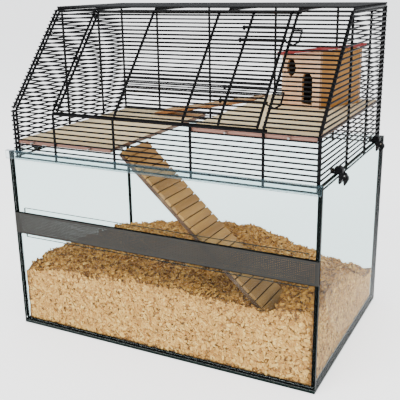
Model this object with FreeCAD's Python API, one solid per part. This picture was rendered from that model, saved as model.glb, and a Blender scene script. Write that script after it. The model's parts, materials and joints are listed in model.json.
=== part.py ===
"""Hamster cage: a glass tank with a vent band, and a wire cage with a sloped front door on top of it.

Millimetres. +Z is up, +X is to the right and +Y is to the back. The origin is at the centre of the
tank's underside. Each node is written to parts/NODE.step.
"""
import FreeCAD, Part
import math
import os
from FreeCAD import Vector

# ---- driving dimensions ------------------------------------------------------------------------

# tank
tank_length = 600.0
tank_depth = 400.0
tank_height = 350.0
glass = 5.0
floor_glass = 6.0
seal = 1.0
seal_leg = 3.0

# vent band in the front pane, and the glass strips glued behind its two joints
band_low = 191.0
band_high = 231.0
band_sheet = 1.0
band_lip = 3.0
strip_height = 18.0
strip_glass = 4.0
strip_inset = 14.0
strip_above_joint = 9.0

# clear push-on profile along the front rim
profile_wall = 1.2
profile_drop = 14.0
profile_play_outside = 0.3
profile_play_inside = 0.2
profile_left_overhang = 7.0
profile_right_inset = 1.0

# wire cage
row_wire = 3.1
post_wire = 4.6
row_pitch = 8.55
slope_pitch = 8.37
rim_gap = 1.8
lowest_row = 338.0
post_tail = 3.5
bend_height = 428.0
cage_height = 601.0
roof_front = -39.5
middle_post = 200.5
inner_post = 74.0
side_post_front = -28.0
side_post_back = 93.0
weld = 0.02
corner_gap = 0.4

# door in the sloped front
door_gap = 5.2
door_left_gap = 9.0
door_right_gap = 11.0
door_posts_from_left = (120.0, 250.5, 314.5)
door_tail = 1.2
stop_gap = 0.25
hinge_wire = 2.4
hinge_play = 0.3
hinge_places = (1, 13, 25)

# door latches
latch_wire = 3.0
latch_play = 0.25
latch_ring_share = 0.85
latch_end = 1.5
latch_rows = {"lower_latch": 8, "upper_latch": 22}
latch_span_rows = 3
latch_tail = 7.0
latch_past_post = 2.5
latch_grip = 16.0
latch_step = 6.5
latch_drop = 10.0

# shelves
board = 7.0
low_shelf_row = 3
high_shelf_under_bend = 1
low_shelf_edge = -83.5
high_shelf_edge = 70.5
shelf_play = 0.6
pin_wire = 3.0
pin_bite = 12.0
pin_end = 1.5
row_seat = 0.3
low_pin_x = (-250.0, -125.0)
high_pin_x = (138.0, 243.0)

# staples and ring hooks that carry the ladder and the ramp
staple_wire = 2.0
staple_reach = 4.0
staple_width = 14.0
hook_wire = 2.0
hook_play = 0.3

# ladder
ladder_angle = 42.5
ladder_width = 85.0
ladder_middle = -128.5
ladder_length = 376.0
ladder_start = 9.0
ladder_rise = 2.0
slat_count = 23
slat_gap = 1.8
slat_board = 5.0
rail_width = 12.0
rail_depth = 7.0
back_board = 4.0
hook_spread = 56.0
hook_bite = 16.0

# ramp between the two shelves
ramp_board = 6.0
ramp_width = 62.0
ramp_middle = 152.0
ramp_length = 239.0
ramp_start = 7.0
ramp_seat = 0.3
ramp_hook_spread = 40.0

# wooden house
house_corner = (216.0, 38.0)
house_turn = 25.0
house_front_width = 95.0
house_side_width = 112.0
house_tall = 103.0
house_low = 90.0
house_wall = 6.0
house_seat = 0.1
roof_board = 6.0
roof_overhang = 7.0
roof_rear_overhang = 3.0
roof_seat = 0.3
doorway_near = 18.0
doorway_width = 25.0
doorway_sill = 6.0
doorway_top = 62.0
window_from_corner = 71.0
window_centre = 69.0
window_width = 22.0
window_height = 31.0

# clips that hang the cage on the side rims
clip_width = 12.0
clip_places = {"front": -112.0, "rear": 135.0}
clip_seat = 0.3
clip_wall = 4.4
clip_tab = 16.0
clip_block = 6.5
clip_tall = 11.0
clip_crown = 1.0
clip_shoulder = 3.0
clip_drop = 8.0
clip_chamfer = 2.0
clip_nose = 1.5
clip_lead_in = 1.0
clip_ear = 1.6
ear_root_top = 3.0
ear_root_low = 7.5
ear_round_pin = 2.6
ear_knee_in = 1.1
ear_knee_low = 5.0
lever_play = 0.3
lever_head = 2.9
pin_out = 9.8
pin_down = 1.5
lever_pin = 2.4
lever_hole_play = 0.05
lever_tip = 18.0
lever_reach = 15.4
lever_tip_in = 1.0
lever_tip_out = 0.6
lever_flare_low = 9.0
lever_flare_top = 4.5
lever_taper = 0.2
lever_thumb_slant = 0.3

# wood shavings
bed_clear = 0.4
bed_bevel_clear = 1.6
bed_columns = 20
bed_rows = 14
bed_base = 124.0
bed_heaps = ((20.0, 60.0, 90.0, 16.0), (300.0, -60.0, 75.0, 36.0), (20.0, -190.0, 60.0, 12.0))
bed_hollows = ((-290.0, -190.0, 60.0, 10.0), (280.0, 200.0, 125.0, 58.0), (-300.0, 190.0, 120.0, 34.0))
pit_reach = 62.0
pit_depth = 68.0
pit_from_foot = 8.0

# ---- values worked out from them ---------------------------------------------------------------

half_length = tank_length / 2
half_depth = tank_depth / 2
inner_x = half_length - glass
inner_y = half_depth - glass
wall_foot = floor_glass + seal

row_r = row_wire / 2
post_r = post_wire / 2
row_x = inner_x - rim_gap - row_r
row_y = inner_y - rim_gap - row_r
post_step = row_r + post_r + weld
side_step = post_step + post_wire + weld
row_end_x = row_x + row_r
outer_post = row_end_x - post_r
side_row_start = post_step + post_r + corner_gap
post_bottom = lowest_row - post_tail
upright_rows = int((cage_height - lowest_row) / row_pitch)
side_rows = int((cage_height - side_row_start - row_r - lowest_row) / row_pitch)
front_rows = int((bend_height - lowest_row) / row_pitch)
high_shelf_row = front_rows - high_shelf_under_bend

slope_run = roof_front + row_y
slope_rise = cage_height - bend_height
slope_length = math.hypot(slope_run, slope_rise)
slope_dir = Vector(0, slope_run / slope_length, slope_rise / slope_length)
slope_in = Vector(0, slope_dir.z, -slope_dir.y)
slope_first = slope_pitch / 2
slope_rows = int((slope_length - slope_pitch) / slope_pitch)
bend_turn = math.atan2(slope_run, slope_rise)
roof_turn = math.pi / 2 - bend_turn
roof_back = row_y - post_step - post_r - weld
roof_rows = int((roof_back + row_r - roof_front - slope_first) / row_pitch)

bar_step = post_step + post_wire + stop_gap
door_left = -middle_post + door_left_gap
door_right = middle_post - door_right_gap
door_posts = [door_left]
door_posts += [door_left + step for step in door_posts_from_left]
door_posts += [door_right]
ring_r = post_r + hinge_play + hinge_wire / 2

pin_r = pin_wire / 2


def row_height(k):
    """Height of an upright row, counted from the lowest one."""
    return lowest_row + row_pitch * k


def shelf_pin_height(k):
    """A shelf's pins lie on row k."""
    return row_height(k) + row_r + row_seat + pin_r


def shelf_top(k):
    """The pins sit in the middle of the board's thickness."""
    return shelf_pin_height(k) + board / 2


low_top = shelf_top(low_shelf_row)
high_top = shelf_top(high_shelf_row)
shelf_y = row_y - post_step - post_r - shelf_play
shelf_x = row_x - post_step - post_r - shelf_play

# ---- small builders ----------------------------------------------------------------------------


def rod(p, q, radius):
    """A round bar from p to q."""
    return Part.makeCylinder(radius, (q - p).Length, p, q - p)


def block(low, high):
    """A box between two corners."""
    size = [b - a for a, b in zip(low, high)]
    return Part.makeBox(size[0], size[1], size[2], Vector(*low))


def prism(points, push):
    """A flat polygon pushed along a vector."""
    return Part.Face(Part.makePolygon(points + [points[0]])).extrude(push)


def bent_rod(points, radius):
    """Straight round runs through the points, with a ball at each corner."""
    first = rod(points[0], points[1], radius)
    rest = []
    for p, q in zip(points[1:], points[2:]):
        rest.append(Part.makeSphere(radius, p))
        rest.append(rod(p, q, radius))
    return first.fuse(rest).removeSplitter() if rest else first


def ring(centre, axis, middle_radius, radius):
    """A closed wire ring."""
    return Part.makeTorus(middle_radius, radius, centre, axis)


def save(node, solids):
    """Writes one node, a single solid or a group of separate ones."""
    solids = solids if isinstance(solids, list) else [solids]
    for solid in solids:
        if not solid.isValid() or solid.Volume <= 0:
            raise ValueError("bad solid in " + node)
    shape = solids[0] if len(solids) == 1 else Part.makeCompound(solids)
    shape.exportStep(os.path.join("parts", node + ".step"))


# ---- tank --------------------------------------------------------------------------------------


def make_tank():
    x, y = half_length, half_depth
    top = tank_height
    save("floor_pane", block((-x, -y, 0), (x, y, floor_glass)))
    save("rear_pane", block((-x, inner_y, wall_foot), (x, y, top)))
    side_y = inner_y - seal
    save("left_pane", block((-x, -side_y, wall_foot), (-inner_x, side_y, top)))
    save("right_pane", block((inner_x, -side_y, wall_foot), (x, side_y, top)))
    save("front_lower_pane", block((-x, -y, wall_foot), (x, -inner_y, band_low - seal)))
    save("front_upper_pane", block((-x, -y, band_high + seal), (x, -inner_y, top)))


def make_corner_seals():
    """A joint between a side pane and a front or rear pane, with the bead in the corner."""
    foot = wall_foot + seal_leg
    solids = []
    for sx in (-1, 1):
        for sy in (-1, 1):
            outline = [(half_length, inner_y), (inner_x - seal_leg, inner_y)]
            outline += [(inner_x, inner_y - seal_leg), (inner_x, inner_y - seal)]
            outline += [(half_length, inner_y - seal)]
            points = [Vector(sx * a, sy * b, foot) for a, b in outline]
            solids.append(prism(points, Vector(0, 0, tank_height - foot)))
    save("corner_seals", solids)


def floor_bead(place, wall, push):
    """The three-cornered bead between the floor and a wall's inner face."""
    corners = [place(wall, floor_glass), place(wall - seal_leg, floor_glass)]
    return prism(corners + [place(wall, wall_foot + seal_leg)], push)


def make_base_seals():
    """The bed of sealant under the walls, and the bead along the inside of the floor."""
    solids = []
    for sy in (-1, 1):
        edges = sorted((sy * inner_y, sy * half_depth))
        bed = block((-half_length, edges[0], floor_glass), (half_length, edges[1], wall_foot))
        bead = floor_bead(lambda a, b: Vector(-inner_x, sy * a, b), inner_y, Vector(2 * inner_x, 0, 0))
        solids.append(bed.fuse(bead))
    end = inner_y - seal_leg
    for sx in (-1, 1):
        edges = sorted((sx * inner_x, sx * half_length))
        bed = block((edges[0], -inner_y, floor_glass), (edges[1], inner_y, wall_foot))
        bead = floor_bead(lambda a, b: Vector(sx * a, -end, b), inner_x, Vector(0, 2 * end, 0))
        solids.append(bed.fuse(bead))
    save("base_seals", solids)


def make_vent_band():
    """A shallow channel of perforated sheet, flush with the front, between the two front panes."""
    face = -half_depth
    web = block((-half_length, face, band_low), (half_length, face + band_sheet, band_high))
    lips = []
    for z in (band_low, band_high - band_sheet):
        corner = (-half_length, face + band_sheet, z)
        lips.append(block(corner, (half_length, face + band_sheet + band_lip, z + band_sheet)))
    save("vent_band", web.fuse(lips).removeSplitter())
    x = inner_x - strip_inset
    back = -inner_y + strip_glass
    for name, joint in (("lower_strip", band_low), ("upper_strip", band_high)):
        low = joint - strip_above_joint
        save(name, block((-x, -inner_y, low), (x, back, low + strip_height)))
    for name, low in (("lower_band_seal", band_low - seal), ("upper_band_seal", band_high)):
        save(name, block((-half_length, -half_depth, low), (half_length, -inner_y, low + seal)))


def make_rim_profile():
    """An upside-down U of clear plastic on the front pane's top edge."""
    out_face = -half_depth - profile_play_outside
    in_face = -inner_y + profile_play_inside
    top = tank_height + profile_play_outside
    low = tank_height - profile_drop
    outline = [(out_face, low), (out_face - profile_wall, low)]
    outline += [(out_face - profile_wall, top + profile_wall), (in_face + profile_wall, top + profile_wall)]
    outline += [(in_face + profile_wall, low), (in_face, low), (in_face, top), (out_face, top)]
    left = -half_length - profile_left_overhang
    points = [Vector(left, a, b) for a, b in outline]
    length = tank_length + profile_left_overhang - profile_right_inset
    whole = prism(points, Vector(length, 0, 0))
    inside = inner_x - seal_leg - profile_play_outside
    ends = []
    for a, b in ((left - 1, -inside), (inside, left + length + 1)):
        ends.append(block((a, -half_depth, low - 1), (b, in_face + 2 * profile_wall, top)))
    save("front_rim_profile", whole.cut(ends))


# ---- wire panels -------------------------------------------------------------------------------


def on_slope(x, along, inward):
    """A point of the sloped front: so far up it from the bend, and so far in from its rows."""
    start = Vector(x, -row_y, bend_height)
    return start + slope_dir * along + slope_in * inward


def upright_post(x, y, top):
    return rod(Vector(x, y, post_bottom), Vector(x, y, top), post_r)


def mitre(turn):
    """How far a wire stops short of a corner that turns by this much, to clear the next wire."""
    return post_r * math.tan(turn / 2) + weld


def make_front_grille():
    rows = []
    for k in range(front_rows + 1):
        z = row_height(k)
        rows.append(rod(Vector(-row_end_x, -row_y, z), Vector(row_end_x, -row_y, z), row_r))
    bend = bend_height - post_step * math.tan(bend_turn / 2) - mitre(bend_turn)
    for x in (outer_post, middle_post):
        rows += [upright_post(sx * x, -row_y + post_step, bend) for sx in (-1, 1)]
    short = bend - door_tail
    rows += [upright_post(sx * inner_post, -row_y + post_step, short) for sx in (-1, 1)]
    save("front_grille", rows)


def slope_place(k):
    return slope_first + slope_pitch * k


def slope_post(x):
    low = post_step * math.tan(bend_turn / 2) + mitre(bend_turn)
    high = slope_length - post_step * math.tan(roof_turn / 2) - mitre(roof_turn)
    return rod(on_slope(x, low, post_step), on_slope(x, high, post_step), post_r)


def make_slope_frames():
    """The fixed strips left and right of the door, and the two bars that the door closes on."""
    for name, side in (("left_slope_grille", -1), ("right_slope_grille", 1)):
        inner = side * (middle_post - row_r)
        outer = side * row_end_x
        wires = []
        for k in range(slope_rows + 1):
            t = slope_place(k)
            wires.append(rod(on_slope(inner, t, 0), on_slope(outer, t, 0), row_r))
        wires += [slope_post(side * x) for x in (middle_post, outer_post)]
        save(name, wires)
    reach = middle_post + post_wire
    low = bar_step * math.tan(bend_turn / 2)
    high = slope_length - bar_step * math.tan(roof_turn / 2)
    for name, t in (("door_sill_bar", low), ("door_head_bar", high)):
        save(name, rod(on_slope(-reach, t, bar_step), on_slope(reach, t, bar_step), post_r))


def make_roof_grille():
    wires = []
    for k in range(roof_rows + 1):
        y = roof_front + slope_first + row_pitch * k
        wires.append(rod(Vector(-row_end_x, y, cage_height), Vector(row_end_x, y, cage_height), row_r))
    z = cage_height - post_step
    front = roof_front + post_step * math.tan(roof_turn / 2) + mitre(roof_turn)
    door_clear = front + door_tail + post_r
    for x, start in ((outer_post, front), (middle_post, front), (inner_post, door_clear)):
        for sx in (-1, 1):
            wires.append(rod(Vector(sx * x, start, z), Vector(sx * x, roof_back, z), post_r))
    save("roof_grille", wires)


def make_rear_grille():
    wires = []
    for k in range(upright_rows + 1):
        z = row_height(k)
        wires.append(rod(Vector(-row_end_x, row_y, z), Vector(row_end_x, row_y, z), row_r))
    top = cage_height - post_step - mitre(math.pi / 2)
    for x in (outer_post, middle_post, inner_post):
        wires += [upright_post(sx * x, row_y - post_step, top) for sx in (-1, 1)]
    save("rear_grille", wires)


def slope_y(z, inward):
    """Where a level line in a side panel meets the line that lies so far inside the front."""
    if z <= bend_height - inward * math.tan(bend_turn / 2):
        return -row_y + inward
    along = (z - bend_height + slope_dir.y * inward) / slope_dir.z
    return on_slope(0, along, inward).y


def make_side_grilles():
    """Rows outside; inside them a frame that follows the panel's outline, and two posts."""
    bend = bend_height - side_step * math.tan(bend_turn / 2)
    roof = cage_height - side_step
    for name, side in (("left_grille", -1), ("right_grille", 1)):
        wires = []
        for k in range(side_rows + 1):
            z = row_height(k)
            start = Vector(side * row_x, slope_y(z + row_r, side_row_start), z)
            wires.append(rod(start, Vector(side * row_x, row_y - side_row_start, z), row_r))
        x = side * (row_x - post_step)
        wires.append(upright_post(x, -row_y + side_step, bend - mitre(bend_turn)))
        low = side_step * math.tan(bend_turn / 2) + mitre(bend_turn)
        high = slope_length - side_step * math.tan(roof_turn / 2)
        slope_end = on_slope(x, high - mitre(roof_turn), side_step)
        wires.append(rod(on_slope(x, low, side_step), slope_end, post_r))
        corner = on_slope(x, high, side_step).y + mitre(roof_turn)
        back = row_y - side_step
        wires.append(rod(Vector(x, corner, roof), Vector(x, back - post_r - weld, roof), post_r))
        wires.append(upright_post(x, back, roof + post_r))
        for y in (side_post_front, side_post_back):
            wires.append(upright_post(x, y, roof - post_r - weld))
        save(name, wires)


# ---- door and latches --------------------------------------------------------------------------


def make_door():
    left = door_left - row_r
    right = door_right + row_r
    wires = []
    for k in range(slope_rows + 1):
        t = slope_place(k)
        wires.append(rod(on_slope(left, t, 0), on_slope(right, t, 0), row_r))
    low = bar_step * math.tan(bend_turn / 2)
    high = slope_length - post_step * math.tan(roof_turn / 2) - door_tail
    for x in door_posts:
        wires.append(rod(on_slope(x, low, post_step), on_slope(x, high, post_step), post_r))
    save("door_grille", wires)
    rings = []
    for k in hinge_places:
        t = slope_place(k) + slope_pitch / 2
        centre = on_slope(-middle_post, t, post_step)
        arm_start = on_slope(-middle_post + ring_r, t, post_step)
        arm = rod(arm_start, on_slope(door_left - post_r - weld, t, post_step), hinge_wire / 2)
        rings.append(ring(centre, slope_dir, ring_r, hinge_wire / 2).fuse(arm))
    save("door_hinge_rings", rings)


def make_latches():
    """Each latch is one bent wire on the door, with a ring at each leg's end that runs on a row."""
    r = latch_wire / 2
    ring_wire = r * latch_ring_share
    ring_mid = row_r + latch_play + ring_wire
    near = door_posts[3] - latch_tail
    end = near - latch_end
    far = middle_post + latch_past_post
    tip = far + latch_grip
    inner = far - latch_step
    for name, k in latch_rows.items():
        upper = slope_place(k)
        lower = slope_place(k - latch_span_rows)
        bottom = lower - latch_drop
        route = [(end, upper), (far, upper), (far, upper - latch_step), (tip, upper - latch_step)]
        route += [(tip, bottom + latch_step), (tip - latch_grip / 2, bottom)]
        route += [(inner, bottom + latch_step), (inner, lower), (end, lower)]
        wire = bent_rod([on_slope(x, t, -ring_mid) for x, t in route], r)
        eyes = [ring(on_slope(near, t, 0), Vector(1, 0, 0), ring_mid, ring_wire) for t in (upper, lower)]
        save(name, wire.fuse(eyes).removeSplitter())


# ---- shelves, ladder and ramp ------------------------------------------------------------------


def make_shelf(name, left, right, k, pin_xs, staples):
    """A board drilled for its staples, and the round pins in its edges that lie on a row of the cage."""
    top = shelf_top(k)
    low = (left, -shelf_y, top - board)
    board_solid = block(low, (right, shelf_y, top))
    z = shelf_pin_height(k)
    tip = row_y + row_r + pin_end
    pins = []
    for x in pin_xs:
        for side in (-1, 1):
            start = Vector(x, side * (shelf_y - pin_bite), z)
            pins.append(rod(start, Vector(x, side * tip, z), pin_r))
    save(name, board_solid.cut(pins + staples))
    save(name + "_pins", pins)


def staple(x, out, y, z):
    """A wire staple driven into a board's edge at x, standing out towards out."""
    r = staple_wire / 2
    eye = x + out * staple_reach
    half = staple_width / 2
    bite = x - out * staple_width
    points = [Vector(bite, y - half, z), Vector(eye, y - half, z), Vector(eye, y + half, z)]
    return bent_rod(points + [Vector(bite, y + half, z)], r)


def make_hung_board_hooks(pivot, down, spread, middle, start, bite):
    """Ring hooks: a ring round the staple, and a leg along the board they are driven into."""
    r = hook_wire / 2
    mid = staple_wire / 2 + hook_play + r
    hooks = []
    for y in (middle - spread / 2, middle + spread / 2):
        centre = Vector(pivot.x, y, pivot.z)
        leg = rod(centre + down * mid, centre + down * (start + bite), r)
        hooks.append(ring(centre, Vector(0, 1, 0), mid, r).fuse(leg))
    return hooks


def make_ladder():
    """Slats on two rails with a thin board between, hung by ring hooks from staples in the low shelf."""
    angle = math.radians(ladder_angle)
    down = Vector(math.cos(angle), 0, -math.sin(angle))
    up = Vector(math.sin(angle), 0, math.cos(angle))
    pivot = Vector(low_shelf_edge + staple_reach, 0, low_top - board / 2)
    half = ladder_width / 2
    front = ladder_middle - half

    def bar(from_along, to_along, low, high, y, width):
        a = pivot + down * from_along + up * low + Vector(0, y, 0)
        sides = [a, a + down * (to_along - from_along)]
        sides += [sides[1] + up * (high - low), a + up * (high - low)]
        return prism(sides, Vector(0, width, 0))

    rail_top = ladder_rise
    rail_low = rail_top - rail_depth
    end = ladder_start + ladder_length
    pitch = (ladder_length + slat_gap) / slat_count
    slats = []
    for k in range(slat_count):
        a = ladder_start + pitch * k
        slats.append(bar(a, a + pitch - slat_gap, rail_top, rail_top + slat_board, front, ladder_width))
    save("ladder_slats", slats)
    hooks = make_hung_board_hooks(pivot, down, hook_spread, ladder_middle, ladder_start, hook_bite)
    rails = []
    for y in (front, front + ladder_width - rail_width):
        rails.append(bar(ladder_start, end, rail_low, rail_top, y, rail_width))
    inner = ladder_width - 2 * rail_width
    back = bar(ladder_start, end, rail_top - back_board, rail_top, front + rail_width, inner)
    rails.append(back.cut(hooks))
    save("ladder_rails", rails)
    save("ladder_hooks", hooks)
    eyes = []
    for y in (ladder_middle - hook_spread / 2, ladder_middle + hook_spread / 2):
        eyes.append(staple(low_shelf_edge, 1, y, pivot.z))
    return eyes


def make_ramp():
    """A plain board from the low shelf up to the high one, hung by ring hooks at its top."""
    pivot = Vector(high_shelf_edge - staple_reach, 0, high_top - board / 2)
    drop = pivot.z - (low_top + ramp_seat + ramp_board / 2)
    angle = math.asin(drop / (ramp_start + ramp_length))
    down = Vector(-math.cos(angle), 0, -math.sin(angle))
    up = Vector(-math.sin(angle), 0, math.cos(angle))
    a = pivot + down * ramp_start - up * (ramp_board / 2) + Vector(0, ramp_middle - ramp_width / 2, 0)
    sides = [a, a + down * (ramp_length - ramp_board)]
    sides += [a + down * ramp_length + up * ramp_board, a + up * ramp_board]
    hooks = make_hung_board_hooks(pivot, down, ramp_hook_spread, ramp_middle, ramp_start, hook_bite)
    save("ramp_board", prism(sides, Vector(0, ramp_width, 0)).cut(hooks))
    save("ramp_hooks", hooks)
    eyes = []
    for y in (ramp_middle - ramp_hook_spread / 2, ramp_middle + ramp_hook_spread / 2):
        eyes.append(staple(high_shelf_edge, -1, y, pivot.z))
    return eyes


# ---- house -------------------------------------------------------------------------------------


def make_house():
    """Four walls and a single-pitch roof. It is built square, then turned about its near corner."""
    turn = house_turn
    corner = Vector(house_corner[0], house_corner[1], high_top + house_seat)
    width, depth = house_front_width, house_side_width
    fall = (house_tall - house_low) / width

    def place(solid):
        solid.rotate(Vector(0, 0, 0), Vector(0, 0, 1), -turn)
        solid.translate(corner)
        return solid

    def height(u):
        """Wall height, falling away from the near corner."""
        return house_tall - fall * u

    def wall(u0, u1, v0, v1):
        points = [Vector(-u0, v0, 0), Vector(-u1, v0, 0)]
        points += [Vector(-u1, v0, height(u1)), Vector(-u0, v0, height(u0))]
        return prism(points, Vector(0, v1 - v0, 0))

    t = house_wall
    front = wall(0, width, 0, t)
    half = doorway_width / 2
    middle = -(doorway_near + half)
    spring = doorway_top - half
    opening = block((middle - half, -t, doorway_sill), (middle + half, 2 * t, spring))
    arch = Part.makeCylinder(half, 3 * t, Vector(middle, -t, spring), Vector(0, 1, 0))
    centre = Vector(-window_from_corner, -t, window_centre)
    top = centre + Vector(0, 0, window_height / 2)
    oval = Part.Ellipse(top, centre + Vector(window_width / 2, 0, 0), centre)
    window = Part.Face(Part.Wire(oval.toShape())).extrude(Vector(0, 3 * t, 0))
    save("house_front_wall", place(front.cut([opening, arch, window])))
    save("house_near_wall", place(wall(0, t, t, depth - t)))
    save("house_far_wall", place(wall(width - t, width, t, depth - t)))
    save("house_rear_wall", place(wall(0, width, depth - t, depth)))
    over = roof_overhang
    lift = roof_seat
    near = Vector(over, -over, height(-over) + lift)
    far = Vector(-width - over, -over, height(width + over) + lift)
    points = [near, far, far + Vector(0, 0, roof_board), near + Vector(0, 0, roof_board)]
    save("house_roof", place(prism(points, Vector(0, over + depth + roof_rear_overhang, 0))))


# ---- clips -------------------------------------------------------------------------------------


def clip_point(side, out, up, y):
    """A point measured out from the tank's side and up from its rim."""
    return Vector(side * (half_length + out), y, tank_height + up)


def make_clip(name, side, y):
    """A saddle on the rim that hooks a row of the cage, and a thumb lever on a pin outside."""
    start = y - clip_width / 2
    seat = clip_seat
    under_row = row_height(2) - row_r - clip_seat - tank_height
    hook_in = row_x - row_r - clip_seat - half_length
    wire_out = row_x + row_r + clip_seat - half_length
    thick = clip_wall * 3 / 4
    hook_top = under_row + row_wire + 2 * clip_seat
    tab_out = seat + clip_wall
    outline = [(hook_in - thick, seat), (hook_in - thick, hook_top), (hook_in, hook_top)]
    outline += [(hook_in, under_row), (wire_out, under_row), (wire_out, clip_tall)]
    outline.append((clip_wall / 2, clip_tall + clip_crown))
    outline += [(clip_block, clip_tall - clip_shoulder), (clip_block, -clip_drop)]
    outline += [(tab_out, -clip_drop - clip_chamfer), (tab_out, -clip_tab + clip_chamfer)]
    outline += [(tab_out - clip_nose, -clip_tab), (seat + clip_lead_in, -clip_tab)]
    outline += [(seat, -clip_tab + clip_chamfer), (seat, seat)]
    body = prism([clip_point(side, a, b, start) for a, b in outline], Vector(0, clip_width, 0))
    ear = [(clip_block, ear_root_top), (pin_out, ear_round_pin - pin_down)]
    ear += [(pin_out + ear_round_pin, -pin_down), (pin_out + ear_round_pin - ear_knee_in, -ear_knee_low)]
    ear.append((clip_block, -ear_root_low))
    ears = []
    for e in (start, start + clip_width - clip_ear):
        ears.append(prism([clip_point(side, a, b, e) for a, b in ear], Vector(0, clip_ear, 0)))
    axis_start = clip_point(side, pin_out, -pin_down, start)
    along = Vector(0, clip_width, 0)
    pin = rod(axis_start, axis_start + along, lever_pin / 2)
    body = body.fuse(ears).removeSplitter().cut(pin)
    save("clip_body_" + name, body)
    inset = clip_ear + lever_play
    lever_start = start + inset
    push = Vector(0, clip_width - 2 * inset, 0)
    wedge = [(pin_out - lever_head, -pin_down), (pin_out - lever_head + lever_taper, -lever_flare_low)]
    wedge += [(pin_out - lever_tip_in, -lever_tip), (pin_out + lever_tip_out, -lever_tip)]
    wedge += [(lever_reach, -lever_flare_low), (lever_reach - lever_thumb_slant, -lever_flare_top)]
    wedge.append((pin_out + lever_head, -pin_down))
    lever = prism([clip_point(side, a, b, lever_start) for a, b in wedge], push)
    head_start = clip_point(side, pin_out, -pin_down, lever_start)
    head = rod(head_start, head_start + push, lever_head)
    hole = rod(axis_start, axis_start + along, lever_pin / 2 + lever_hole_play)
    save("clip_lever_" + name, lever.fuse(head).removeSplitter().cut(hole))
    return pin


def make_clips():
    pins = []
    for place, y in clip_places.items():
        for hand, side in (("left", -1), ("right", 1)):
            pins.append(make_clip(place + "_" + hand, side, y))
    save("clip_pins", pins)


# ---- wood shavings -----------------------------------------------------------------------------


def bump(x, y, shape):
    """The height of one smooth rounded heap, given as its middle, its reach and its top."""
    middle_x, middle_y, reach, height = shape
    return height * math.exp(-((x - middle_x) ** 2 + (y - middle_y) ** 2) / (2 * reach * reach))


def bed_height(x, y):
    """Heaped at the middle and the right, low at the rear corners, with a pit under the ladder's foot."""
    z = bed_base + sum(bump(x, y, shape) for shape in bed_heaps)
    z -= sum(bump(x, y, shape) for shape in bed_hollows)
    foot = low_shelf_edge + (ladder_start + ladder_length) * math.cos(math.radians(ladder_angle))
    return z - bump(x, y, (foot - pit_from_foot, ladder_middle, pit_reach, pit_depth))


def make_bedding():
    """A heap with flat sides and a rolling top, kept off the panes and the beads in the corners."""
    x_end = inner_x - bed_clear
    y_end = inner_y - strip_glass - bed_clear
    low = floor_glass + bed_clear
    bevel = seal_leg + seal + bed_bevel_clear
    xs = [-x_end + 2 * x_end * i / bed_columns for i in range(bed_columns + 1)]
    ys = [-y_end + 2 * y_end * j / bed_rows for j in range(bed_rows + 1)]
    top = [[Vector(x, y, bed_height(x, y)) for y in ys] for x in xs]
    faces = []
    for i in range(bed_columns):
        for j in range(bed_rows):
            a, b, c, d = top[i][j], top[i + 1][j], top[i + 1][j + 1], top[i][j + 1]
            faces.append(Part.Face(Part.makePolygon([a, b, c, a])))
            faces.append(Part.Face(Part.makePolygon([a, c, d, a])))
    edges = [[column[0] for column in top], [column[-1] for column in top], top[0], top[-1]]
    for edge in edges:
        foot = [Vector(edge[-1].x, edge[-1].y, low), Vector(edge[0].x, edge[0].y, low)]
        faces.append(Part.Face(Part.makePolygon(edge + foot + [edge[0]])))
    corners = [Vector(a * x_end, b * y_end, low) for a, b in ((-1, -1), (1, -1), (1, 1), (-1, 1))]
    faces.append(Part.Face(Part.makePolygon(corners + [corners[0]])))
    heap = Part.Solid(Part.makeShell(faces))
    if heap.Volume < 0:
        heap.reverse()
    cuts = []
    for sx in (-1, 1):
        for sy in (-1, 1):
            outline = [(x_end + 1, y_end + 1), (x_end - bevel, y_end + 1)]
            outline.append((x_end + 1, y_end - bevel - strip_glass))
            cuts.append(prism([Vector(sx * a, sy * b, 0) for a, b in outline], Vector(0, 0, cage_height)))
    for sy in (-1, 1):
        outline = [(y_end + 1, low - 1), (y_end - bevel, low - 1), (y_end + 1, low + bevel)]
        cuts.append(prism([Vector(-half_length, sy * a, b) for a, b in outline], Vector(tank_length, 0, 0)))
    for sx in (-1, 1):
        outline = [(x_end + 1, low - 1), (x_end - bevel, low - 1), (x_end + 1, low + bevel)]
        cuts.append(prism([Vector(sx * a, -half_depth, b) for a, b in outline], Vector(0, tank_depth, 0)))
    save("bedding", heap.cut(cuts))


# ---- build -------------------------------------------------------------------------------------


def main():
    os.makedirs("parts", exist_ok=True)
    make_tank()
    make_corner_seals()
    make_base_seals()
    make_vent_band()
    make_rim_profile()
    make_front_grille()
    make_slope_frames()
    make_roof_grille()
    make_rear_grille()
    make_side_grilles()
    make_door()
    make_latches()
    ladder_eyes = make_ladder()
    ramp_eyes = make_ramp()
    save("ladder_staples", ladder_eyes)
    save("ramp_staples", ramp_eyes)
    make_shelf("low_shelf", -shelf_x, low_shelf_edge, low_shelf_row, low_pin_x, ladder_eyes)
    make_shelf("high_shelf", high_shelf_edge, shelf_x, high_shelf_row, high_pin_x, ramp_eyes)
    make_house()
    make_clips()
    make_bedding()


main()
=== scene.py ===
"""A hamster cage: a glass tank of wood shavings under a black wire cage. Metres, in the CAD frame."""
import json
import math

import bmesh
import bpy
import numpy as np
from mathutils import Matrix, Vector

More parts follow.
